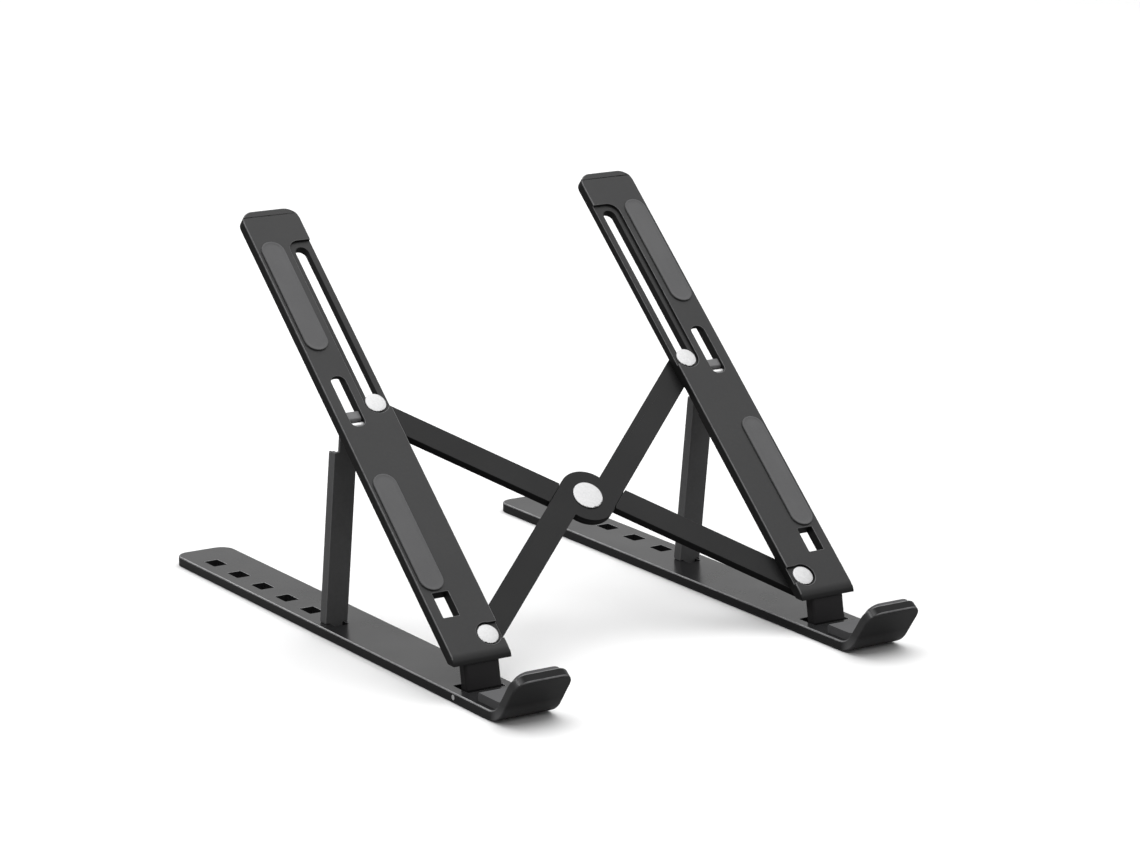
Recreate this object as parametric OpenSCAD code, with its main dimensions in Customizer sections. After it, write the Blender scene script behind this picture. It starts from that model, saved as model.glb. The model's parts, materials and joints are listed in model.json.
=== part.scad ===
// Folding laptop stand: two hooked base legs, two carrying arms on riser
// links, two height props, and a pair of crossed bars that slide in the arms.
// Millimetres, +Z up. The user sits on the -Y side, X = 0 is the centre plane,
// Y = 0 is the middle of the overall length, and Z = 0 is the underside of
// the base legs.

/* [Layout] */
// Angle of the arms above the desk when open, degrees
arm_angle = 41.5; // [41:0.5:42]
// Half distance between the arm rivets when open
rivet_x = 67.2; // [67:0.2:67.4]
// Height of the arm's top face at the front rivet
arm_z = 20.42; // [20.3:0.02:20.6]

/* [Base leg] */
// Thickness of the base leg and its hook
leg_t = 3.7; // [3.6:0.1:3.8]
// Rear end of the base leg
leg_rear = 202.4; // [202:0.2:204]
// Angle of the hook's lip above the desk, degrees
lip_angle = 54.5; // [50:0.5:58]
// Straight length of the hook's lip
lip_len = 15.3; // [12:0.1:16]
// Spacing of the prop holes
hole_pitch = 18.8; // [18:0.1:19]

/* [Arm] */
// Length of the arm above its front rivet
arm_len = 190.7; // [188:0.1:191]
// Thickness of the arm
arm_t = 4.1; // [4.1:0.1:4.2]
// Depth of the sunk track beside the long slot
track_d = 1.0; // [0.8:0.1:1.1]
// Width of the long slot
slot_w = 5.3; // [5.2:0.1:5.4]
// Thickness of the soft pads on the arms
pad_t = 0.65; // [0.4:0.05:1]

/* [Crossed bars] */
// Width of a bar
bar_w = 10.1; // [9.6:0.1:10.1]
// Thickness of a bar
bar_t = 3.15; // [3:0.05:3.2]
// Radius of the round eye at the middle of the bars
eye_r = 10.8; // [10.6:0.1:10.8]
// Half distance between the rivet lines when folded
closed_x = 5.35; // [5.35:0.05:5.5]

/* [Prop] */
// Width of the prop's channel
prop_w = 9.2; // [8.8:0.1:9.4]
// Depth of the prop's channel
prop_d = 4.2; // [4:0.1:4.2]
// Thickness of the prop's sheet
prop_t = 1.2; // [1:0.1:1.4]
// Length of the prop above its heel
prop_len = 79; // [76:0.5:79]
// Forward lean of the prop, degrees
prop_lean = 7.4; // [7:0.1:7.6]

/* [Hidden] */
$fn = 48;
e = 0.01;
// Arm outline, measured from the centre plane
arm_in = 62.0;
arm_out = 85.2;
// Base leg outline
leg_in = 62.0;
leg_out = 85.3;
leg_mid = (leg_in + leg_out) / 2;
// Link pins
p1 = [-5.8, 1.86];
p2u = -7.04;
p2n = -2.5;
p2 = [p2u * cos(arm_angle) - p2n * sin(arm_angle), arm_z + p2u * sin(arm_angle) + p2n * cos(arm_angle)];
link_len = sqrt(pow(p2[0] - p1[0], 2) + pow(p2[1] - p1[1], 2));
link_lean = atan2(p2[0] - p1[0], p2[1] - p1[1]);
link_x0 = 66.5;
link_x1 = 80.7;
knuckle_x0 = 68.2;
knuckle_x1 = 79.0;
// Crossed bars: the centre rivet sits halfway up the open rivet distance
bar_half = rivet_x / 0.8;
bar_u = bar_half * 0.6;
bar_turn = asin(closed_x / bar_half);
strip_a = 36.8699 + bar_turn;
strip_len = bar_half * cos(bar_turn);
bar_top = -(arm_t + 0.1);
lap_n = bar_top - bar_t / 2;
lap_gap = 0.03;
lap_off = closed_x + bar_w / 2 + 0.24;
// Rivets
rivet_head_r = 4.0;
rivet_shank_r = 1.6;
centre_head_r = 5.7;
centre_shank_r = 2.4;
rivet_top = -0.36;
bush_r = slot_w / 2 - 0.12;
// Long slot in the arm
slot_lo = 2 * bar_u - 0.05;
slot_hi = 172.8 - slot_w / 2;
// Prop heel axis
heel_r = 0.8;
heel_y = 91.2;
heel_z = leg_t + 0.05 + heel_r;
prop_in = 73.2;
prop_mid = prop_in + prop_w / 2;
tongue_w = 5.3;
prop_front = prop_d - heel_r;
// Prop knuckle and pin in the arm
knuck_u0 = 95.2;
knuck_u1 = 99.2;
pin_u = 93.6;
pin_n = -2.6;
pin_r = 1.05;
// Pads on the arms
arm_pad_w = 9.2;
arm_pad_x = 79.2;
// Materials' colours
black = [0.16, 0.16, 0.17];
dark = [0.20, 0.20, 0.21];
grey = [0.36, 0.36, 0.37];
silver = [0.86, 0.86, 0.87];
steel = [0.55, 0.55, 0.56];

// The parts are drawn from the line of the front rivets, then moved so that
// the middle of the overall length comes to Y = 0.
lip_front = -28.5 - 12 * sin(lip_angle) - lip_len * cos(lip_angle);
mid_y = round((leg_rear + lip_front) * 5) / 10;

module placed() {
    translate([0, -mid_y, 0]) children();
}

// ---------- helpers ----------

// Puts children on one side: s = 1 is the right side, s = -1 mirrors them
module side(s) {
    if (s > 0) children();
    else mirror([1, 0, 0]) children();
}

// Arm frame: x across, y up along the arm, z out of its top face
module on_arm() {
    translate([0, 0, arm_z]) rotate([arm_angle, 0, 0]) children();
}

// A shape drawn in (Y, Z) and extruded along X between x0 and x1
module across(x0, x1) {
    translate([x0, 0, 0]) rotate([90, 0, 90]) linear_extrude(x1 - x0) children();
}

// A cylinder along X
module rod_x(r, x0, x1, y, z) {
    translate([x0, y, z]) rotate([0, 90, 0]) cylinder(r = r, h = x1 - x0);
}

// Rectangle from corner to corner with rounded corners
module round_rect(x0, y0, x1, y1, r) {
    union() {
        translate([x0 + r, y0]) square([x1 - x0 - 2 * r, y1 - y0]);
        translate([x0, y0 + r]) square([x1 - x0, y1 - y0 - 2 * r]);
        for (x = [x0 + r, x1 - r], y = [y0 + r, y1 - r]) translate([x, y]) circle(r);
    }
}

// Slot with round ends along y, from centre to centre
module long_hole(x, y0, y1, w) {
    union() {
        translate([x - w / 2, y0]) square([w, y1 - y0]);
        translate([x, y0]) circle(w / 2);
        translate([x, y1]) circle(w / 2);
    }
}

// ---------- base leg ----------

bend_y = -28.5;
bend_ro = 12;
bend_ri = bend_ro - leg_t;
lip_d = [-cos(lip_angle), sin(lip_angle)];
lip_n = [sin(lip_angle), cos(lip_angle)];
lip_tip = [bend_y - bend_ro * lip_n[0] + lip_len * lip_d[0], bend_ro - bend_ro * lip_n[1] + lip_len * lip_d[1]];

// Side profile of the bend and lip, between two radii of the bend; tail is how far
// it runs back under the flat part
function bend_arc(r, n) = [for (i = [0:n]) let (a = lip_angle * i / n) [bend_y - r * sin(a), bend_ro - r * cos(a)]];
module hook_profile(ri, ro, len, tail) {
    polygon(concat([[bend_y + tail, bend_ro - ro]], bend_arc(ro, 24),
        [[bend_y - ro * lip_n[0] + len * lip_d[0], bend_ro - ro * lip_n[1] + len * lip_d[1]],
         [bend_y - ri * lip_n[0] + len * lip_d[0], bend_ro - ri * lip_n[1] + len * lip_d[1]]],
        [for (i = [24:-1:0]) bend_arc(ri, 24)[i]], [[bend_y + tail, bend_ro - ri]]));
}

// Outline of the leg's flat part, seen from above
module leg_outline() {
    difference() {
        union() {
            translate([leg_in, bend_y]) square([leg_out - leg_in, leg_rear - 5.8 - bend_y]);
            round_rect(leg_in, 150, leg_out, leg_rear, 5.8);
        }
        // slot for the riser link
        round_rect(65.9, -9.2, 81.3, 0.8, 0.6);
        // prop holes
        for (i = [0:5]) translate([0, 88.2 + i * hole_pitch])
            round_rect(74.7, -4.15, 80.4, 4.15, 0.5);
    }
}

// Outline of the lip in its own plane, with rounded top corners
module lip_outline(x0, x1, top, r) {
    translate([0, bend_y, bend_ro]) rotate([90 - lip_angle, 0, 0]) rotate([90, 0, 0])
        translate([0, 0, -12]) linear_extrude(36) round_rect(x0, -30, x1, top, r);
}

module base_leg(s) {
    color(black) side(s) difference() {
        union() {
            linear_extrude(leg_t) leg_outline();
            intersection() {
                across(leg_in - 1, leg_out + 1) hook_profile(bend_ri, bend_ro, lip_len + 1, 2);
                lip_outline(leg_in, leg_out, lip_len, 5.6);
            }
        }
        // hole for the lower link pin, blind at the inner end
        rod_x(1.0, 63.5, leg_out + 1, p1[0], p1[1]);
        // seats of the foot pads
        translate([0, 0, -e]) linear_extrude(0.8 + e) foot_outline(0);
    }
}

module foot_outline(g) {
    round_rect(68 + g, 14 + g, 79 - g, 74 - g, 3);
    round_rect(68 + g, 192.4 + g, 79 - g, 199.4 - g, 3);
}

module foot_pads(s) {
    color(grey) side(s) linear_extrude(0.8) foot_outline(0);
}

// Side profile of the soft pad in the hook's crook: a raised seat that runs up the lip
seat_z = 6.8;
seat_r = 5;
seat_t = 1.1;
// point on the lip pad's face, and where that face would meet the seat
face_p = [bend_y - (bend_ri - seat_t) * lip_n[0], bend_ro - (bend_ri - seat_t) * lip_n[1]];
face_q = face_p[0] + (face_p[1] - seat_z) / tan(lip_angle);
seat_c = [face_q + seat_r * tan(lip_angle / 2), seat_z + seat_r];
module seat_profile() {
    polygon(concat([[-18.6, leg_t], [-18.6, seat_z - 0.6], [-19.2, seat_z]],
        [for (i = [0:10]) let (a = lip_angle * i / 10) [seat_c[0] - seat_r * sin(a), seat_c[1] - seat_r * cos(a)]],
        [[bend_y - (bend_ri - seat_t) * lip_n[0] + lip_len * lip_d[0], bend_ro - (bend_ri - seat_t) * lip_n[1] + lip_len * lip_d[1]],
         [bend_y - bend_ri * lip_n[0] + lip_len * lip_d[0], bend_ro - bend_ri * lip_n[1] + lip_len * lip_d[1]]],
        [for (i = [24:-1:0]) bend_arc(bend_ri, 24)[i]]));
}

module hook_pad(s) {
    color(grey) side(s) intersection() {
        across(63.4, 84) seat_profile();
        lip_outline(64.4, 83.0, lip_len - 0.4, 4.4);
    }
}

module link_pin_lower(s) {
    color(silver) side(s) rod_x(1.0, 63.5, leg_out, p1[0], p1[1]);
}

// ---------- riser link ----------

module riser_link(s) {
    color(dark) side(s) difference() {
        union() {
            // body plate with rounded vertical edges
            translate([0, p1[0], p1[1]]) rotate([-link_lean, 0, 0]) {
                translate([0, 0, 1.6]) linear_extrude(link_len - 1.6 - 1.75)
                    round_rect(link_x0, -2.25, link_x1, 2.25, 1.2);
            }
            // lower knuckle
            rod_x(1.72, link_x0, link_x1, p1[0], p1[1]);
            translate([0, p1[0], p1[1]]) rotate([-link_lean, 0, 0])
                translate([link_x0, -1.6, 0]) cube([link_x1 - link_x0, 3.2, 3]);
            // upper knuckle
            rod_x(1.45, knuckle_x0, knuckle_x1, p2[0], p2[1]);
            translate([0, p1[0], p1[1]]) rotate([-link_lean, 0, 0])
                translate([knuckle_x0, -1.35, link_len - 3]) cube([knuckle_x1 - knuckle_x0, 2.7, 3]);
        }
        rod_x(1.05, link_x0 - 1, link_x1 + 1, p1[0], p1[1]);
        rod_x(0.75, knuckle_x0 - 1, knuckle_x1 + 1, p2[0], p2[1]);
    }
}

module link_pin_upper(s) {
    color(silver) side(s) rod_x(0.7, 65.5, 82.5, p2[0], p2[1]);
}

// ---------- arm ----------

nose_r = 7;
nose_u = -5.7;

// Side profile of the arm, (u, n): rolled front edge, level underside of the nose
nose_end = 37;
module arm_profile() {
    polygon(concat([[arm_len + 1, 0]],
        [for (i = [0:16]) let (a = nose_end * i / 16) [nose_u - nose_r * sin(a), -nose_r * (1 - cos(a))]],
        [[-6.78, -arm_t], [arm_len + 1, -arm_t]]));
}

module arm_outline() {
    union() {
        translate([arm_in, -20]) square([arm_out - arm_in, arm_len + 20 - 5.2]);
        round_rect(arm_in, 120, arm_out, arm_len, 5.2);
    }
}

// Sunk track beside the long slot and pocket round the front rivet
module track_outline() {
    // track
    difference() {
        translate([arm_in - 1, slot_lo]) square([72 - arm_in + 1, 175.4 - slot_lo]);
        translate([72 - 4.5, 175.4 - 4.5]) difference() {
            square(5);
            circle(4.5);
        }
    }
    translate([rivet_x, slot_lo]) circle(4.8);
    translate([arm_in - 1, slot_lo - 2.6]) square([rivet_x - arm_in, 4]);
    // front pocket
    translate([rivet_x, 0]) circle(4.6);
    translate([arm_in - 1, -2.7]) square([rivet_x - arm_in, 2.7 + 4.3]);
}

module arm(s) {
    color(black) side(s) on_arm() difference() {
        intersection() {
            across(arm_in - 1, arm_out + 1) arm_profile();
            translate([0, 0, -arm_t - 1]) linear_extrude(arm_t + 2) arm_outline();
        }
        // sunk track
        translate([0, 0, -track_d]) linear_extrude(track_d + 1) track_outline();
        // long slot
        translate([0, 0, -arm_t - 1]) linear_extrude(arm_t + 2) long_hole(rivet_x, slot_lo, slot_hi, slot_w);
        // prop slot
        translate([0, 0, -arm_t - 1]) linear_extrude(arm_t + 2) round_rect(75.0, 91.6, 80.8, 114.0, 2.6);
        // rectangular slot
        translate([0, 0, -arm_t - 1]) linear_extrude(arm_t + 2) round_rect(74.7, 9.0, 81.2, 19.4, 0.3);
        // hole for the front rivet
        translate([rivet_x, 0, -arm_t - 1]) cylinder(r = rivet_shank_r, h = arm_t + 2);
        // groove that takes the prop's tongue
        translate([74.9, 99.6, -arm_t - 1]) cube([6.0, 64.4, 3.3]);
        // relief over the centre rivet when folded
        translate([arm_in - 0.15, 83.6, -arm_t - 1]) cylinder(r = 6.4, h = 1.55);
        // pocket for the upper knuckle of the link
        across(knuckle_x0 - 0.3, knuckle_x1 + 0.3) translate([p2u, p2n]) rotate(-arm_angle) pocket_profile();
        // hole for the upper link pin
        rod_x(0.7, 65.5, 82.5, p2u, p2n);
        // hole for the prop pin
        rod_x(pin_r, 73.4, 82.4, pin_u, pin_n);
    }
}

// Round-topped pocket, open downwards
module pocket_profile() {
    polygon(concat([for (i = [0:12]) let (a = 180 * i / 12) [1.75 * cos(a), 1.75 * sin(a)]], [[-1.75, -6], [1.75, -6]]));
}

module arm_pad(s, u0, u1) {
    color(grey) side(s) on_arm() linear_extrude(pad_t)
        long_hole(arm_pad_x, u0 + arm_pad_w / 2, u1 - arm_pad_w / 2, arm_pad_w);
}

module link_rivet(s) {
    color(silver) side(s) on_arm() translate([rivet_x, 0, 0]) {
        translate([0, 0, -track_d]) cylinder(r = rivet_head_r, h = track_d + rivet_top);
        translate([0, 0, bar_top - bar_t - 0.55]) cylinder(r = rivet_shank_r, h = -bar_top + bar_t + 0.55 - track_d);
        translate([0, 0, bar_top - bar_t - 0.55]) cylinder(r = 2.9, h = 0.5);
    }
}

module prop_knuckle(s) {
    color(steel) side(s) on_arm() across(75.0, 80.8)
        polygon([[knuck_u0, -4.0], [knuck_u1, -4.0], [knuck_u1, -1.7], [knuck_u1 - 0.5, -1.2], [knuck_u0 + 0.5, -1.2], [knuck_u0, -1.7]]);
}

module prop_pin(s) {
    color(silver) side(s) on_arm() rod_x(pin_r, 73.4, 82.4, pin_u, pin_n);
}

// ---------- prop ----------

module prop(s) {
    color(black) side(s) translate([0, heel_y, heel_z]) rotate([prop_lean, 0, 0]) difference() {
        union() {
            // channel
            difference() {
                translate([prop_in, -prop_front, -4]) cube([prop_w, prop_d, 4 + 66]);
                translate([prop_in + prop_t, -prop_front + prop_t, -5]) cube([prop_w - 2 * prop_t, prop_d, 80]);
                // flanges taper away at the top
                translate([prop_in - 1, heel_r, 66 + 1]) rotate([50, 0, 0]) translate([0, -2, -1]) cube([prop_w + 2, 8, 12]);
                // level foot
                rotate([-prop_lean, 0, 0]) translate([60, -12, -heel_r - 8]) cube([40, 24, 8]);
                // cut clear of the rounded heel
                translate([prop_in - 1, 0, -6]) cube([prop_w + 2, 3, 6]);
            }
            // rounded heels
            rod_x(heel_r, prop_in, prop_in + prop_t, 0, 0);
            rod_x(heel_r, prop_in + prop_w - prop_t, prop_in + prop_w, 0, 0);
            // tongue at the top
            translate([prop_mid - tongue_w / 2, -prop_front, 60]) cube([tongue_w, prop_t, prop_len - 60]);
            // toe that drops into the hole of the base leg
            translate([prop_mid - 2.5, -prop_front, -heel_r - 2.6]) cube([5, prop_t, 8]);
        }
    }
}

// ---------- crossed bars ----------

// Plan of one bar about its centre rivet, with end rivets at angle a and a + 180.
// h = 1 puts each strip to the right of its outward direction, h = -1 to the left
module bar_plan(a, h) {
    circle(eye_r, $fn = 96);
    for (q = [0, 180]) rotate(a + h * bar_turn + q) {
        translate([0, -h * closed_x - bar_w / 2]) square([strip_len, bar_w]);
        translate([strip_len, -h * closed_x]) circle(bar_w / 2);
    }
}

// Region of a bar that the other bar covers, at angle a of the other bar's strips
module lap_plan(a) {
    circle(eye_r + 0.4, $fn = 96);
    rotate(a) translate([-24, -lap_off]) square([48, 2 * lap_off]);
}

// kind = 1 is the bar whose eye is on top, kind = -1 the one below
module cross_bar(kind) {
    a = kind > 0 ? 36.8699 : 143.1301;
    h = kind > 0 ? 1 : -1;
    other = kind > 0 ? -strip_a : strip_a;
    color(dark) on_arm() translate([0, bar_u, 0]) difference() {
        translate([0, 0, bar_top - bar_t]) linear_extrude(bar_t) bar_plan(a, h);
        // half lap
        if (kind > 0) translate([0, 0, bar_top - bar_t - 1]) linear_extrude(1 + bar_t / 2 + lap_gap) lap_plan(other);
        else translate([0, 0, lap_n - lap_gap]) linear_extrude(bar_t) lap_plan(other);
        // rivet holes
        translate([0, 0, bar_top - bar_t - 1]) {
            cylinder(r = kind > 0 ? centre_shank_r : centre_shank_r + 0.06, h = bar_t + 2);
            // front rivet hole turns on its rivet, slot rivet is fast in its hole
            rotate(a + 180 * (kind > 0 ? 1 : 1)) translate([bar_half, 0, 0]) cylinder(r = rivet_shank_r + 0.06, h = bar_t + 2);
            rotate(a) translate([bar_half, 0, 0]) cylinder(r = rivet_shank_r, h = bar_t + 2);
        }
    }
}

// s is the side of the slot rivet; it rides on a bar and slides in the arm
module slot_rivet(s) {
    color(silver) side(s) on_arm() translate([rivet_x, 2 * bar_u, 0]) {
        translate([0, 0, -track_d + 0.06]) cylinder(r = rivet_head_r, h = track_d + rivet_top - 0.06);
        translate([0, 0, bar_top - bar_t - 0.5]) cylinder(r = rivet_shank_r, h = -bar_top + bar_t + 0.5 - track_d + 0.06);
        translate([0, 0, bar_top - bar_t - 0.5]) cylinder(r = 2.9, h = 0.5);
    }
}

// Bush round the slot rivet's shank
module slot_bush(s) {
    color(dark) side(s) on_arm() translate([rivet_x, 2 * bar_u, bar_top]) difference() {
        cylinder(r = bush_r, h = -bar_top - track_d + 0.06);
        translate([0, 0, -1]) cylinder(r = rivet_shank_r, h = arm_t + 4);
    }
}

module centre_rivet() {
    color(silver) on_arm() translate([0, bar_u, 0]) {
        translate([0, 0, bar_top]) cylinder(r = centre_head_r, h = 0.44);
        translate([0, 0, bar_top - bar_t - 0.6]) cylinder(r = centre_shank_r, h = bar_t + 0.7);
        translate([0, 0, bar_top - bar_t - 0.6]) cylinder(r = 4.2, h = 0.5);
    }
}

// Thin washer between the two eyes
module centre_washer() {
    color(steel) on_arm() translate([0, bar_u, lap_n - lap_gap]) difference() {
        cylinder(r = 7, h = 2 * lap_gap);
        translate([0, 0, -1]) cylinder(r = centre_shank_r, h = 3);
    }
}

placed() base_leg(-1);  // base_leg_left
placed() base_leg(1);  // base_leg_right
placed() hook_pad(-1);  // hook_pad_left
placed() hook_pad(1);  // hook_pad_right
placed() foot_pads(-1);  // foot_pads_left
placed() foot_pads(1);  // foot_pads_right
placed() link_pin_lower(-1);  // link_pin_lower_left
placed() link_pin_lower(1);  // link_pin_lower_right
placed() riser_link(-1);  // riser_link_left
placed() riser_link(1);  // riser_link_right
placed() link_pin_upper(-1);  // link_pin_upper_left
placed() link_pin_upper(1);  // link_pin_upper_right
placed() arm(-1);  // arm_left
placed() arm(1);  // arm_right
placed() arm_pad(-1, 20.2, 70.2);  // arm_pad_front_left
placed() arm_pad(1, 20.2, 70.2);  // arm_pad_front_right
placed() arm_pad(-1, 125.8, 175.8);  // arm_pad_rear_left
placed() arm_pad(1, 125.8, 175.8);  // arm_pad_rear_right
placed() link_rivet(-1);  // front_rivet_left
placed() link_rivet(1);  // front_rivet_right
placed() prop(-1);  // prop_left
placed() prop(1);  // prop_right
placed() prop_knuckle(-1);  // prop_knuckle_left
placed() prop_knuckle(1);  // prop_knuckle_right
placed() prop_pin(-1);  // prop_pin_left
placed() prop_pin(1);  // prop_pin_right
placed() cross_bar(1);  // cross_bar_upper
placed() cross_bar(-1);  // cross_bar_lower
placed() slot_rivet(-1);  // slot_rivet_left
placed() slot_rivet(1);  // slot_rivet_right
placed() slot_bush(-1);  // slot_bush_left
placed() slot_bush(1);  // slot_bush_right
placed() centre_rivet();
placed() centre_washer();
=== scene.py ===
import json
import math

import bmesh
import bpy
from mathutils import Matrix, Vector

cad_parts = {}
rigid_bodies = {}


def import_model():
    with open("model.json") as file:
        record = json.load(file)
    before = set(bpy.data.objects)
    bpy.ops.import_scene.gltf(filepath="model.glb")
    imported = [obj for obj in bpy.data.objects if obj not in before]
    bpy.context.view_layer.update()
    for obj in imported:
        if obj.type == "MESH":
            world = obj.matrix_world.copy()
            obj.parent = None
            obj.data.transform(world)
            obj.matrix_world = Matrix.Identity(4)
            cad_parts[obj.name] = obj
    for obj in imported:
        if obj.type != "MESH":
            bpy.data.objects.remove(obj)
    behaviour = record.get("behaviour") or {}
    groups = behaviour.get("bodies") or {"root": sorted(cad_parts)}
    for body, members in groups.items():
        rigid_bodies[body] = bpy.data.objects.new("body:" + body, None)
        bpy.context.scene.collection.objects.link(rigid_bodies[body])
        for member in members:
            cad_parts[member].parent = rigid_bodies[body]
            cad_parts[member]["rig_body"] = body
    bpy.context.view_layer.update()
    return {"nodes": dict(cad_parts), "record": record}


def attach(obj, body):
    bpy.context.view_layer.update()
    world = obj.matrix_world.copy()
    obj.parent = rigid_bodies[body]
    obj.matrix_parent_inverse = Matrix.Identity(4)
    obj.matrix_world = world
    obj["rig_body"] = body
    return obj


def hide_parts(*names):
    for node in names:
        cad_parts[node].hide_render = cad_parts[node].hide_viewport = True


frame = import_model()
NODES = frame["nodes"]
BODY_OF = {n: o["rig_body"] for n, o in NODES.items()}

WORLD = 0.75
TOP = 1.9
BACK = 0.50
STRIP = 5.0
LEFT = 4.5

ANGLE = math.radians(41.5)
ARM_Z = 0.02042
Y0 = -0.0776  # the middle of the overall length is at Y = 0
U = Vector((0, math.cos(ANGLE), math.sin(ANGLE)))
N = Vector((0, -math.sin(ANGLE), math.cos(ANGLE)))


def on_arm(x, u, n):
    """Millimetres in the arm frame to metres in the row frame."""
    return Vector((x / 1000, Y0, ARM_Z)) + U * (u / 1000) + N * (n / 1000)


ARM_M = Matrix(((1, 0, 0, 0), (0, U.y, N.y, Y0), (0, U.z, N.z, ARM_Z), (0, 0, 0, 1)))

# ------------------------------------------------------------------ materials


class Mat:
    """A small helper round a node material."""

    def __init__(self, name):
        self.m = bpy.data.materials.new(name)
        self.m.use_nodes = True
        self.t = self.m.node_tree
        self.b = self.t.nodes["Principled BSDF"]
        self.coord = self.t.nodes.new("ShaderNodeTexCoord").outputs["Object"]

    def node(self, kind, **inputs):
        n = self.t.nodes.new(kind)
        for k, v in inputs.items():
            n.inputs[k.replace("_", " ")].default_value = v
        return n

    def link(self, a, b):
        self.t.links.new(a, b)

    def scaled(self, sx, sy, sz, rot=(0, 0, 0)):
        n = self.t.nodes.new("ShaderNodeMapping")
        n.inputs["Scale"].default_value = (sx, sy, sz)
        n.inputs["Rotation"].default_value = rot
        self.link(self.coord, n.inputs["Vector"])
        return n.outputs["Vector"]

    def noise(self, scale, detail=3, rough=0.5, vec=None):
        n = self.node("ShaderNodeTexNoise", Scale=scale, Detail=detail, Roughness=rough)
        self.link(vec or self.coord, n.inputs["Vector"])
        return n.outputs["Fac"]

    def remap(self, value, a, b, lo, hi):
        n = self.t.nodes.new("ShaderNodeMapRange")
        n.inputs["From Min"].default_value = a
        n.inputs["From Max"].default_value = b
        n.inputs["To Min"].default_value = lo
        n.inputs["To Max"].default_value = hi
        self.link(value, n.inputs["Value"])
        return n.outputs["Result"]

    def mix(self, fac, a, b):
        n = self.t.nodes.new("ShaderNodeMix")
        n.data_type = "RGBA"
        self.link(fac, n.inputs["Factor"])
        for key, v in (("A", a), ("B", b)):
            sock = [s for s in n.inputs if s.name == key and s.type == "RGBA"][0]
            if isinstance(v, tuple):
                sock.default_value = v + (1,)
            else:
                self.link(v, sock)
        return [s for s in n.outputs if s.type == "RGBA"][0]

    def bump(self, height, strength, distance, normal=None):
        n = self.node("ShaderNodeBump", Strength=strength, Distance=distance)
        self.link(height, n.inputs["Height"])
        if normal:
            self.link(normal, n.inputs["Normal"])
        return n.outputs["Normal"]

    def edge(self):
        """1 on the eased edges of a piece, 0 on its open faces."""
        n = self.t.nodes.new("ShaderNodeAttribute")
        n.attribute_name = "eased_edge"
        return n.outputs["Fac"]


def along(k, direction, origin, lo, hi, a=0.0, b=1.0):
    """Value a to b as the distance along a direction, in millimetres from origin, goes lo to hi."""
    n = k.t.nodes.new("ShaderNodeVectorMath")
    n.operation = "DOT_PRODUCT"
    k.link(k.coord, n.inputs[0])
    n.inputs[1].default_value = tuple(direction)
    off = Vector(direction).dot(Vector(origin))
    return k.remap(n.outputs["Value"], off + lo / 1000, off + hi / 1000, a, b)


def times(k, a, b):
    n = k.t.nodes.new("ShaderNodeMath")
    n.operation = "MULTIPLY"
    k.link(a, n.inputs[0])
    k.link(b, n.inputs[1])
    return n.outputs[0]


def anodised(name, base, rough=0.42, spec=0.35, metal=0.0, edge_col=0.10, edge_amt=0.8, grain=0.06, shade=None, edge_mask=None, painted_light=None, dull=None):
    """Fine bead-blasted and black anodised aluminium: an even, slightly cloudy black with a
    very fine grain, a softer sheen in places, and lighter edges, partly wear and partly painted highlight."""
    k = Mat(name)
    cloud = k.noise(38, 4, 0.55)
    fine = k.noise(5200, 2, 0.6)
    mid = k.noise(900, 3, 0.6)
    body = k.mix(k.remap(cloud, 0.3, 0.7, 0, 1), tuple(c * 0.88 for c in base), tuple(c * 1.12 for c in base))
    body = k.mix(k.remap(mid, 0.35, 0.72, 0, 0.22), body, tuple(c * 1.5 for c in base))
    # painted shade: where the shade mask is low, the colour is darkened to a third
    if shade:
        body = k.mix(shade(k), tuple(c * 0.3 for c in base), body)
    # lighter edges: partly wear, partly painted highlight; edge_mask, where given, keeps the painted highlight to the
    # upper edges
    edge_wear_and_highlight_noise = k.noise(420, 3, 0.7)
    e = times(k, k.edge(), k.remap(edge_wear_and_highlight_noise, 0.3, 0.65, edge_amt * 0.6, edge_amt))
    if edge_mask:
        e = times(k, e, edge_mask(k))
    col = k.mix(e, body, (edge_col, edge_col, edge_col * 1.02))
    # painted light: where given, lighter areas are painted in by position
    if painted_light:
        col = painted_light(k, col)
    k.link(col, k.b.inputs["Base Color"])
    gloss = k.remap(cloud, 0.25, 0.75, rough - 0.05, rough + 0.06)
    if dull:
        add = k.t.nodes.new("ShaderNodeMath")
        add.operation = "ADD"
        k.link(gloss, add.inputs[0])
        k.link(dull(k), add.inputs[1])
        gloss = add.outputs[0]
    k.link(gloss, k.b.inputs["Roughness"])
    k.b.inputs["Metallic"].default_value = metal
    k.b.inputs["Specular IOR Level"].default_value = spec
    n1 = k.bump(fine, grain, 0.00003)
    k.link(k.bump(mid, 0.05, 0.00008, n1), k.b.inputs["Normal"])
    return k.m


def silicone(name, base, rough=0.72, spec=0.28):
    """Matte moulded silicone: fine mould texture, faint dust and a soft sheen."""
    k = Mat(name)
    cloud = k.noise(60, 4, 0.6)
    fine = k.noise(3800, 3, 0.65)
    dust = k.noise(1500, 2, 0.7)
    body = k.mix(k.remap(cloud, 0.3, 0.7, 0, 1), tuple(c * 0.92 for c in base), tuple(c * 1.08 for c in base))
    body = k.mix(k.remap(dust, 0.62, 0.78, 0, 0.35), body, tuple(min(1, c * 1.5) for c in base))
    k.link(body, k.b.inputs["Base Color"])
    k.link(k.remap(cloud, 0.25, 0.75, rough - 0.05, rough + 0.06), k.b.inputs["Roughness"])
    k.b.inputs["Specular IOR Level"].default_value = spec
    k.b.inputs["Sheen Weight"].default_value = 0.06
    k.b.inputs["Sheen Roughness"].default_value = 0.6
    k.link(k.bump(fine, 0.22, 0.00004), k.b.inputs["Normal"])
    return k.m


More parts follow.
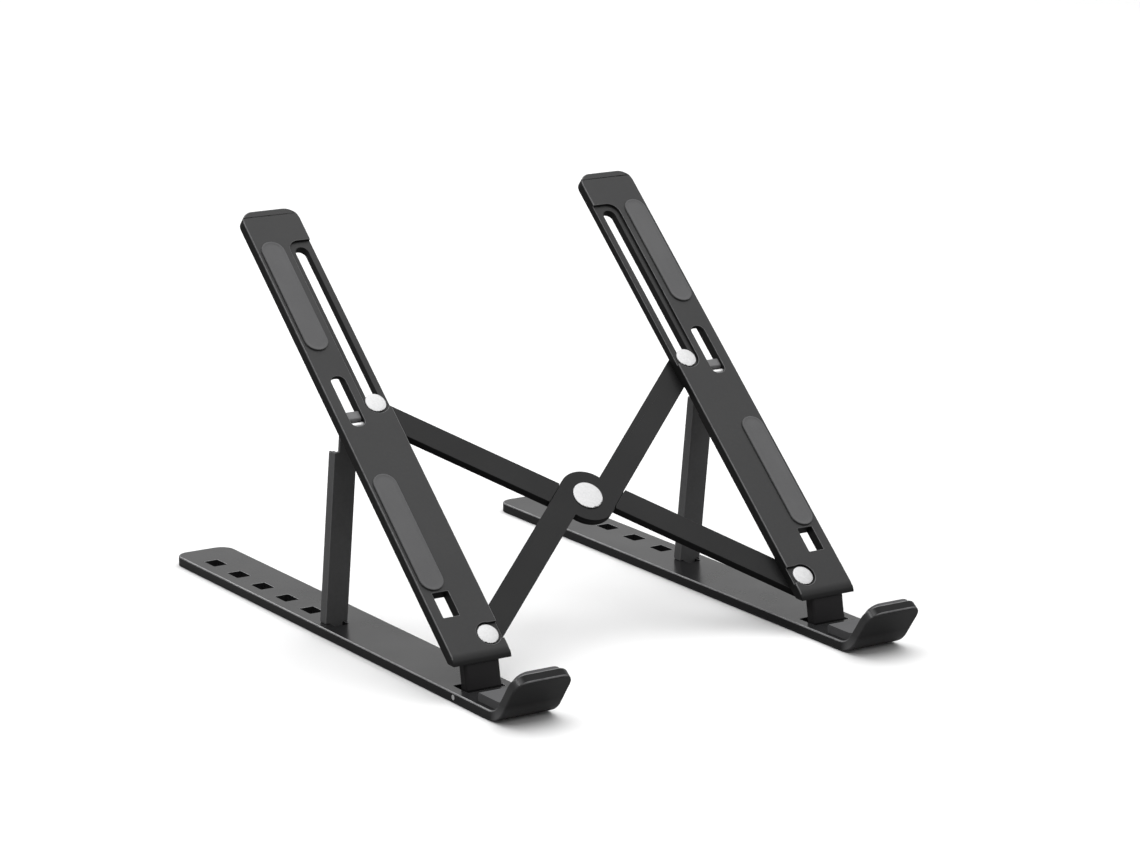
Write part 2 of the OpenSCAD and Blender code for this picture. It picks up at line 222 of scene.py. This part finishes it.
def steel(name, base, rough=0.3, mottled=0.5, metal=1.0):
    """Bright headed rivet: tumbled finish with small dents, mottling and fine scratches, and
    a ragged painted shade at the rim where the shape carries a rim value."""
    k = Mat(name)
    blot = k.noise(650, 5, 0.65)
    fine = k.noise(3000, 3, 0.6)
    streak = k.noise(900, 4, 0.6, k.scaled(1, 7, 1, (0.5, 0.2, 0.7)))
    body = k.mix(k.remap(blot, 0.3, 0.7, 0, 1), tuple(c * (1 - 0.30 * mottled) for c in base), base)
    body = k.mix(k.remap(streak, 0.55, 0.75, 0, 0.35 * mottled), body, tuple(c * 0.55 for c in base))
    rim = k.t.nodes.new("ShaderNodeAttribute")
    rim.attribute_name = "rim"
    ragged = k.noise(1400, 3, 0.7)
    add = k.t.nodes.new("ShaderNodeMath")
    add.operation = "ADD"
    k.link(rim.outputs["Fac"], add.inputs[0])
    k.link(k.remap(ragged, 0.3, 0.7, -0.28, 0.28), add.inputs[1])
    # painted shade: a ragged dark ring where the rim value is high
    body = k.mix(k.remap(add.outputs[0], 0.62, 0.80, 0, 0.93), body, (0.010, 0.010, 0.010))
    k.link(body, k.b.inputs["Base Color"])
    k.link(k.remap(blot, 0.3, 0.7, rough - 0.06, rough + 0.16), k.b.inputs["Roughness"])
    k.b.inputs["Metallic"].default_value = metal
    n1 = k.bump(blot, 0.35 * mottled + 0.1, 0.00012)
    k.link(k.bump(fine, 0.12, 0.00003, n1), k.b.inputs["Normal"])
    return k.m


def plastic(name, base, rough=0.5):
    k = Mat(name)
    cloud = k.noise(200, 3, 0.6)
    fine = k.noise(4200, 2, 0.6)
    body = k.mix(cloud, tuple(c * 0.85 for c in base), tuple(c * 1.15 for c in base))
    k.link(body, k.b.inputs["Base Color"])
    k.link(k.remap(cloud, 0.3, 0.7, rough - 0.06, rough + 0.08), k.b.inputs["Roughness"])
    k.link(k.bump(fine, 0.15, 0.00003), k.b.inputs["Normal"])
    return k.m


ARM_0 = (0, Y0, ARM_Z)
LIP_A = math.radians(54.5)
LIP_D = (0, -math.cos(LIP_A), math.sin(LIP_A))
LIP_0 = (0, Y0 + (-28.5 - 12 * math.sin(LIP_A)) / 1000, (12 - 12 * math.cos(LIP_A)) / 1000)


def arm_shade(k):
    """Painted shade: the sunk track and the sides are darker than the top face."""
    return along(k, N, ARM_0, -0.75, -0.45, 0.25, 1.0)


def base_shade(k):
    """Painted shade: the end face of the hook's lip is darker than the rest."""
    return along(k, LIP_D, LIP_0, 14.2, 15.0, 1.0, 0.1)


def base_edge_highlight(k):
    """Painted highlight: the upper edges are lighter than the lower ones."""
    return along(k, (0, 0, 1), (0, 0, 0), 1.0, 3.2, 0.25, 1.0)


def base_dull(k):
    """The lip's end face is rougher than the rest."""
    return along(k, LIP_D, LIP_0, 14.0, 14.9, 0.0, 0.70)


def base_painted_light(k, col):
    """Painted light: the outside of the hook is a little lighter, and the underside of its bend
    is lighter still, a painted reflection of the floor."""
    outer = along(k, (0, -1, 0), (0, Y0 - 0.030, 0), 1, 5, 0.0, 1.0)
    col = k.mix(times(k, outer, base_shade(k)), col, (0.052, 0.052, 0.053))
    # painted reflection of the floor on the underside of the bend
    low = along(k, (0, 0, 1), (0, 0, 0), 0.4, 7.5, 1.0, 0.0)
    front = along(k, (0, -1, 0), (0, Y0 - 0.030, 0), 0, 4, 0.0, 0.9)
    return k.mix(times(k, low, front), col, (0.20, 0.20, 0.203))


# painted highlight: the upper edges of the arms are lighter than the lower ones
def arm_edge_highlight(k):
    return along(k, N, ARM_0, -3.4, -1.2, 0.2, 1.0)


MATS = {
    "base_finish": anodised("base_finish", (0.014, 0.014, 0.0147), rough=0.24, spec=0.45, edge_col=0.30, shade=base_shade, edge_mask=base_edge_highlight, painted_light=base_painted_light, dull=base_dull),
    "arm_finish": anodised("arm_finish", (0.0215, 0.0215, 0.022), rough=0.46, spec=0.26, edge_col=0.20, shade=arm_shade, edge_mask=arm_edge_highlight),
    "bar_finish": anodised("bar_finish", (0.0080, 0.0080, 0.0083), rough=0.46, spec=0.17, edge_col=0.05),
    "link_finish": anodised("link_finish", (0.016, 0.015, 0.016), rough=0.42, spec=0.35, edge_col=0.07),
    "prop_finish": anodised("prop_finish", (0.135, 0.135, 0.137), rough=0.40, spec=0.35, edge_col=0.30),
    "hook_silicone": silicone("hook_silicone", (0.090, 0.090, 0.093), spec=0.2),
    "arm_silicone": silicone("arm_silicone", (0.104, 0.104, 0.106), spec=0.2),
    "foot_silicone": silicone("foot_silicone", (0.06, 0.06, 0.062), spec=0.2),
    "rivet_steel": steel("rivet_steel", (0.62, 0.62, 0.624), rough=0.44, mottled=0.9, metal=0.7),
    "pin_steel": steel("pin_steel", (0.86, 0.86, 0.865), rough=0.40, mottled=0.3, metal=0.35),
    "knuckle_steel": steel("knuckle_steel", (0.17, 0.17, 0.173), rough=0.55, mottled=0.5, metal=0.3),
    "washer_steel": steel("washer_steel", (0.4, 0.4, 0.4), rough=0.4, mottled=0.3),
    "bush_plastic": plastic("bush_plastic", (0.012, 0.012, 0.012)),
}
SLOT_OF = {s["node"]: s["material_slot"] for s in frame["record"]["subparts"]}
for name, obj in NODES.items():
    obj.data.materials.clear()
    obj.data.materials.append(MATS[SLOT_OF[name]])

# ------------------------------------------------------------------ pieces


def finish_piece(obj, node_names, body, slot_name, smooth=True):
    obj.data.materials.clear()
    obj.data.materials.append(MATS[slot_name])
    if smooth:
        for p in obj.data.polygons:
            p.use_smooth = True
    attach(obj, body)
    if node_names:
        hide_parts(*node_names)
    return obj


def apply_modifiers(obj):
    dg = bpy.context.evaluated_depsgraph_get()
    mesh = bpy.data.meshes.new_from_object(obj.evaluated_get(dg))
    old = obj.data
    obj.modifiers.clear()
    obj.data = mesh
    bpy.data.meshes.remove(old)


def eased(node, width, segments=2, name=None, angle=28, weight=None, clamp=False):
    """A copy of a CAD node with its sharp edges eased by a small rounded bevel. weight, given
    an edge's middle in metres and its direction, returns its share of the width. With no
    width the edges stay sharp."""
    src = NODES[node]
    mesh = bpy.data.meshes.new(name or node + "_eased")
    bm = bmesh.new()
    bm.from_mesh(src.data)
    bmesh.ops.remove_doubles(bm, verts=bm.verts, dist=2e-7)
    if width:
        bmesh.ops.dissolve_limit(bm, angle_limit=math.radians(0.35), verts=bm.verts, edges=bm.edges)
    bmesh.ops.recalc_face_normals(bm, faces=bm.faces)
    layer = bm.edges.layers.float.new("bevel_weight_edge")
    for e in bm.edges:
        sharp = len(e.link_faces) == 2 and e.calc_face_angle(0) > math.radians(angle)
        e.smooth = not sharp
        if sharp:
            mid = (e.verts[0].co + e.verts[1].co) / 2
            e[layer] = weight(mid, (e.verts[1].co - e.verts[0].co).normalized()) if weight else 1.0
    bm.to_mesh(mesh)
    bm.free()
    obj = bpy.data.objects.new(name or node + "_eased", mesh)
    bpy.context.scene.collection.objects.link(obj)
    if width:
        b = obj.modifiers.new("ease", "BEVEL")
        b.width = width
        b.segments = segments
        b.limit_method = "WEIGHT"
        b.use_clamp_overlap = clamp
        b.loop_slide = False
        b.harden_normals = False
        b.miter_outer = "MITER_ARC"
        b.material = 1
    mesh.materials.append(MATS[SLOT_OF[node]])
    mesh.materials.append(MATS[SLOT_OF[node]])
    for p in mesh.polygons:
        p.use_smooth = True
    w = obj.modifiers.new("normals", "WEIGHTED_NORMAL")
    w.keep_sharp = True
    w.weight = 100
    apply_modifiers(obj)
    att = obj.data.attributes.new("eased_edge", "FLOAT", "FACE")
    for p in obj.data.polygons:
        att.data[p.index].value = 1.0 if p.material_index == 1 else 0.0
        p.material_index = 0
    return finish_piece(obj, [node], BODY_OF[node], SLOT_OF[node], smooth=False)


def mesh_object(name, verts, faces):
    mesh = bpy.data.meshes.new(name)
    mesh.from_pydata([tuple(v) for v in verts], [], faces)
    mesh.validate()
    mesh.update()
    obj = bpy.data.objects.new(name, mesh)
    bpy.context.scene.collection.objects.link(obj)
    return obj


def lathe(name, profile, matrix, steps=72, wobble=0.0):
    """Revolve (r, z) points in millimetres about the local Z axis, then place with matrix.
    A rim value for painted shade grows towards the edge of the head, most on the side that faces down."""
    verts, faces, rim_shades = [], [], []
    rows = []
    rmax = max(r for r, z in profile)
    ztop = max(z for r, z in profile)
    for r, z in profile:
        if r <= 1e-6:
            rows.append([len(verts)])
            verts.append(matrix @ Vector((0, 0, z / 1000)))
            rim_shades.append(0.0)
            continue
        row = []
        for i in range(steps):
            a = 2 * math.pi * i / steps
            k = 1 + wobble * (0.5 * math.sin(3 * a + 1.1) + 0.3 * math.sin(7 * a + 0.4) + 0.2 * math.sin(12 * a + 2.0))
            row.append(len(verts))
            verts.append(matrix @ Vector((r * k * math.cos(a) / 1000, r * k * math.sin(a) / 1000, z / 1000)))
            # painted shade at the rim of the head, most on the side that faces down
            out = max(0.0, (r / rmax - 0.74) / 0.26) if z > ztop - 1.2 else 0.0
            rim_shades.append(out * (0.30 + 0.55 * max(0.0, math.sin(a + math.pi) * 0.9 + 0.25)))
        rows.append(row)
    for a, b in zip(rows, rows[1:]):
        for i in range(steps):
            j = (i + 1) % steps
            if len(a) == 1 and len(b) == 1:
                continue
            if len(a) == 1:
                faces.append((a[0], b[i], b[j]))
            elif len(b) == 1:
                faces.append((a[i], a[j], b[0]))
            else:
                faces.append((a[i], a[j], b[j], b[i]))
    obj = mesh_object(name, verts, faces)
    att = obj.data.attributes.new("rim", "FLOAT", "POINT")
    for i, v in enumerate(rim_shades):
        att.data[i].value = v
    bm = bmesh.new()
    bm.from_mesh(obj.data)
    bmesh.ops.recalc_face_normals(bm, faces=bm.faces)
    bm.to_mesh(obj.data)
    bm.free()
    return obj


def at_arm(x, u):
    return ARM_M @ Matrix.Translation((x / 1000, u / 1000, 0))


def head(r, bottom, top, crown):
    """Profile of a pressed rivet head, from its axis outwards and down."""
    t = top - bottom
    e = min(0.42 * t, 0.3)
    pts = [(0, top), (r * 0.35, top - crown * 0.08), (r * 0.62, top - crown * 0.35), (r * 0.74, top - crown * 0.55), (r * 0.82, top - crown * 0.72), (r * 0.88, top - crown * 0.86)]
    for i in range(0, 6):
        a = math.pi / 2 * i / 5
        pts.append((r - e + e * math.sin(a), top - crown - e + e * math.cos(a)))
    pts.append((r, bottom + 0.06))
    pts.append((r - 0.06, bottom))
    return pts


TAIL_TOP = -7.40
sides = (("left", -1), ("right", 1))

def base_weight(p, d):
    """The outline of the leg is rounded more than its holes, and most of all along the top."""
    ax = abs(p.x) * 1000
    if math.hypot(p.y - Y0 + 0.0058, p.z - 0.00186) < 0.0022:
        return 0.0
    outline = ax < 64 or ax > 83.4 or p.y > Y0 + 0.198 or p.y < Y0 - 0.0285
    if not outline:
        return 0.3
    return 0.45 if p.z < 0.0015 and p.y > Y0 - 0.0285 else 1.0


def arm_weight(p, d):
    q = p - Vector(ARM_0)
    n = q.dot(N) * 1000
    ax = abs(p.x) * 1000
    if math.hypot(q.dot(U) * 1000 + 11.3, n + 1.9) < 4.0:
        return 0.0
    outline = ax < 62.3 or ax > 84.9 or q.dot(U) > 0.189
    if not outline:
        return 0.5 if n > -0.6 else 0.0
    return 1.0 if n > -0.5 else 0.5


# aluminium parts: machined and sheared edges are eased, except on the small riser links
for side, sx in sides:
    eased("base_leg_" + side, 0.00050, 3, weight=base_weight)
    eased("arm_" + side, 0.00035, 3, weight=arm_weight)
    eased("riser_link_" + side, 0)
    eased("prop_" + side, 0.00022, 2)
    eased("prop_knuckle_" + side, 0.00025, 2)
eased("cross_bar_upper", 0.00026, 3, clamp=True)
eased("cross_bar_lower", 0.00026, 3, clamp=True)

# rivets
for side, sx in sides:
    for which, node, u in (("front", "front_rivet_", 0.0), ("slot", "slot_rivet_", 100.8)):
        bot = -1.0 if which == "front" else -0.94
        prof = head(4.0, bot, -0.36, 0.16)
        prof += [(1.6, bot), (1.6, -7.35), (2.6, -7.42), (2.86, -7.56), (2.9, -7.70), (2.7, -7.85), (0.9, -7.88), (0.7, -7.7), (0, -7.66)]
        obj = lathe(node + side + "_piece", prof, at_arm(sx * 67.2, u), wobble=0.006)
        finish_piece(obj, [node + side], BODY_OF[node + side], "rivet_steel")
prof = head(5.7, -4.2, -3.77, 0.10)
prof += [(2.4, -4.2), (2.4, -7.36), (3.9, -7.44), (4.15, -7.6), (4.2, -7.75), (3.9, -7.93), (1.4, -7.95), (1.1, -7.75), (0, -7.7)]
obj = lathe("centre_rivet_piece", prof, at_arm(0, 50.4), steps=96, wobble=0.004)
finish_piece(obj, ["centre_rivet"], BODY_OF["centre_rivet"], "rivet_steel")


def rounded_slot(width, length, steps=20):
    """Outline of a slot with round ends, centred, along y, in millimetres."""
    r = width / 2
    h = length / 2 - r
    pts = [(r * math.cos(a), h + r * math.sin(a)) for a in [math.pi * i / steps for i in range(steps + 1)]]
    pts += [(r * math.cos(a), -h + r * math.sin(a)) for a in [math.pi + math.pi * i / steps for i in range(steps + 1)]]
    return pts


def pad(name, node, outline, matrix, thick, crown=0.12, edge=0.22):
    """A moulded pad: soft rim, a fine raised lip just inside it, and a slightly dished face."""
    cx = sum(p[0] for p in outline) / len(outline)
    rings = [(0.0, 0.0), (0.0, thick - edge)]
    for i in range(1, 5):
        a = math.pi / 2 * i / 4
        rings.append((edge * (1 - math.cos(a)), thick - edge + edge * math.sin(a)))
    rings += [(edge + 0.28, thick), (edge + 0.5, thick - 0.05), (edge + 0.75, thick - crown), (edge + 1.6, thick - crown)]
    # inset each ring by moving points towards the slot's spine
    verts, faces = [], []
    n = len(outline)
    w = max(p[0] for p in outline)
    h = max(p[1] for p in outline) - w
    for inset, z in rings:
        for x, y in outline:
            sy = max(-h, min(h, y))
            d = Vector((x, y - sy))
            r = d.length
            k = max(0.0, (r - inset) / r) if r > 0 else 0
            verts.append(matrix @ Vector((d.x * k / 1000, (sy + d.y * k) / 1000, z / 1000)))
    for j in range(len(rings) - 1):
        for i in range(n):
            k = (i + 1) % n
            faces.append((j * n + i, j * n + k, (j + 1) * n + k, (j + 1) * n + i))
    top = len(rings) - 1
    faces.append(tuple(top * n + i for i in range(n)))
    faces.append(tuple(n - 1 - i for i in range(n)))
    obj = mesh_object(name, verts, faces)
    bm = bmesh.new()
    bm.from_mesh(obj.data)
    bmesh.ops.remove_doubles(bm, verts=bm.verts, dist=1e-7)
    bmesh.ops.recalc_face_normals(bm, faces=bm.faces)
    bm.to_mesh(obj.data)
    bm.free()
    finish_piece(obj, [node], BODY_OF[node], SLOT_OF[node])
    return obj


for side, sx in sides:
    for which, u0, u1 in (("front", 20.2, 70.2), ("rear", 125.8, 175.8)):
        m = ARM_M @ Matrix.Translation((sx * 0.0792, (u0 + u1) / 2000, 0))
        pad("arm_pad_%s_%s_piece" % (which, side), "arm_pad_%s_%s" % (which, side), rounded_slot(9.2, u1 - u0), m, 0.65)

# hook pads: moulded seat in the crook, its long edges rounded
def pad_weight(p, d):
    """The seat's rear corners are rounded most, then its upright edges."""
    y = (p.y - Y0) * 1000
    if y > -19.5 and abs(d.z) > 0.8:
        return 1.0
    if p.z > 0.0039:
        return 0.45
    return 0.1


for side, sx in sides:
    eased("hook_pad_" + side, 0.0012, 5, angle=20, weight=pad_weight, clamp=True)
    eased("foot_pads_" + side, 0.0002, 2, clamp=True)
    for node in ("link_pin_lower_", "link_pin_upper_", "prop_pin_"):
        eased(node + side, 0.00018, 2, clamp=True)

# ------------------------------------------------------------------ stage, light and camera


def stage_material():
    """Pale studio sheet. Only its own look is pale: it throws little light back on the stand."""
    k = Mat("stage_pale")
    n = k.noise(6, 2, 0.5)
    lit = k.mix(n, (0.90, 0.90, 0.90), (0.92, 0.92, 0.92))
    path = k.t.nodes.new("ShaderNodeLightPath")
    k.link(k.mix(path.outputs["Is Camera Ray"], (0.16, 0.16, 0.16), lit), k.b.inputs["Base Color"])
    k.b.inputs["Roughness"].default_value = 0.9
    k.b.inputs["Specular IOR Level"].default_value = 0.05
    return k.m


floor = mesh_object("studio_floor", [(-6, -6, -0.0002), (6, -6, -0.0002), (6, 6, -0.0002), (-6, 6, -0.0002)], [(0, 1, 2, 3)])
floor.data.materials.append(stage_material())

# dim surround: brighter overhead and towards the user, dark to the sides
world = bpy.data.worlds.new("studio")
bpy.context.scene.world = world
world.use_nodes = True
wt = world.node_tree
wbg = wt.nodes["Background"]
wc = wt.nodes.new("ShaderNodeTexCoord")
dot = wt.nodes.new("ShaderNodeVectorMath")
dot.operation = "DOT_PRODUCT"
wt.links.new(wc.outputs["Generated"], dot.inputs[0])
dot.inputs[1].default_value = (0.30, -0.25, 0.92)
ramp = wt.nodes.new("ShaderNodeValToRGB")
wt.links.new(dot.outputs["Value"], ramp.inputs[0])
els = ramp.color_ramp.elements
els[0].position = 0.0
els[0].color = (0.12, 0.12, 0.12, 1)
els[1].position = 0.9
els[1].color = (1, 1, 1, 1)
mid = els.new(0.4)
mid.color = (0.42, 0.42, 0.42, 1)
wt.links.new(ramp.outputs["Color"], wbg.inputs["Color"])
wbg.inputs["Strength"].default_value = WORLD


def area(name, loc, target, size, radiance, size_y=None):
    data = bpy.data.lights.new(name, "AREA")
    data.shape = "RECTANGLE"
    data.size = size
    data.size_y = size_y or size
    data.energy = radiance * math.pi * data.size * data.size_y
    o = bpy.data.objects.new(name, data)
    o.location = loc
    o.rotation_euler = (Vector(target) - Vector(loc)).to_track_quat("-Z", "Y").to_euler()
    bpy.context.scene.collection.objects.link(o)
    return o


area("top_soft", (0.30, 0.05, 2.0), (0, 0.0, 0.05), 2.6, TOP)
area("back_low_soft", (1.25, 1.95, 0.62), (0, 0.0, 0.02), 2.2, BACK, 1.0)
area("back_strip", (-0.55, 1.75, 1.15), (0, 0.0, 0.05), 1.6, STRIP, 0.35)
area("left_strip", (-1.5, -0.05, 1.5), (0, 0.0, 0.05), 1.6, LEFT, 0.30)

cam = bpy.data.cameras.new("camera")
cam.lens = 120.3
cam.sensor_width = 36
cam.clip_start = 0.05
cam_obj = bpy.data.objects.new("camera", cam)
cam_obj.location = (-0.7266, -1.0708 + Y0, 0.4020)
cam_obj.rotation_euler = (Vector((-0.0028, 0.0480 + Y0, 0.0748)) - Vector(cam_obj.location)).to_track_quat("-Z", "Y").to_euler()
bpy.context.scene.collection.objects.link(cam_obj)
bpy.context.scene.camera = cam_obj

bpy.context.scene.view_settings.view_transform = "Standard"

bpy.context.view_layer.update()
